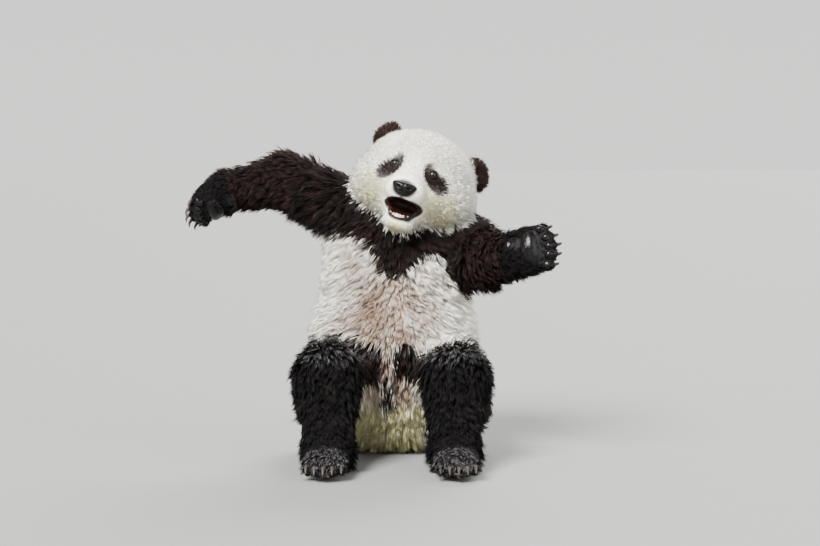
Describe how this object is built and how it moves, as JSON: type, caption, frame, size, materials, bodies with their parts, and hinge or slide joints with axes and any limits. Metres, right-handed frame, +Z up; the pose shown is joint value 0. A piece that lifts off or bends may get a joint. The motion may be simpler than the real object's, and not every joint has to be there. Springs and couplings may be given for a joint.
{
  "type": "giant panda",
  "caption": "Life-size still model of a young giant panda sitting on the floor, arms held out, mouth open, with a full black and white coat.",
  "frame": {"origin": "on the floor, in the middle of the flat under the rump", "axes": "+Z up, -Y the way the belly and the toes face, +X the animal's own left side"},
  "size_m": [0.652, 0.5732, 0.584],
  "materials": {
    "white_coat": "dense soft fur, warm white, tan on the belly",
    "black_coat": "dense soft fur, brown-black with reddish tips",
    "bare_skin": "pebbled black nose and paw-pad skin, slightly moist",
    "eye": "dark brown iris under a clear wet cornea",
    "claw_horn": "dark horn, worn paler at the tip",
    "tongue": "wet pink"
  },
  "bodies": {
    "root": {"head": "white_coat", "neck": "white_coat", "trunk": "white_coat", "tail": "white_coat", "ear_left": "black_coat", "upper_arm_left": "black_coat", "forearm_left": "black_coat", "front_paw_left": "black_coat", "thigh_left": "black_coat", "shin_left": "black_coat", "hind_foot_left": "black_coat", "ear_right": "black_coat", "upper_arm_right": "black_coat", "forearm_right": "black_coat", "front_paw_right": "black_coat", "thigh_right": "black_coat", "shin_right": "black_coat", "hind_foot_right": "black_coat", "eye_left": "eye", "eye_right": "eye", "nose": "bare_skin", "tongue": "tongue", "claw_front_left_1": "claw_horn", "claw_front_left_2": "claw_horn", "claw_front_left_3": "claw_horn", "claw_front_left_4": "claw_horn", "claw_front_left_5": "claw_horn", "claw_front_right_1": "claw_horn", "claw_front_right_2": "claw_horn", "claw_front_right_3": "claw_horn", "claw_front_right_4": "claw_horn", "claw_front_right_5": "claw_horn", "claw_hind_left_1": "claw_horn", "claw_hind_left_2": "claw_horn", "claw_hind_left_3": "claw_horn", "claw_hind_left_4": "claw_horn", "claw_hind_left_5": "claw_horn", "claw_hind_right_1": "claw_horn", "claw_hind_right_2": "claw_horn", "claw_hind_right_3": "claw_horn", "claw_hind_right_4": "claw_horn", "claw_hind_right_5": "claw_horn"}
  },
  "joints": []
}
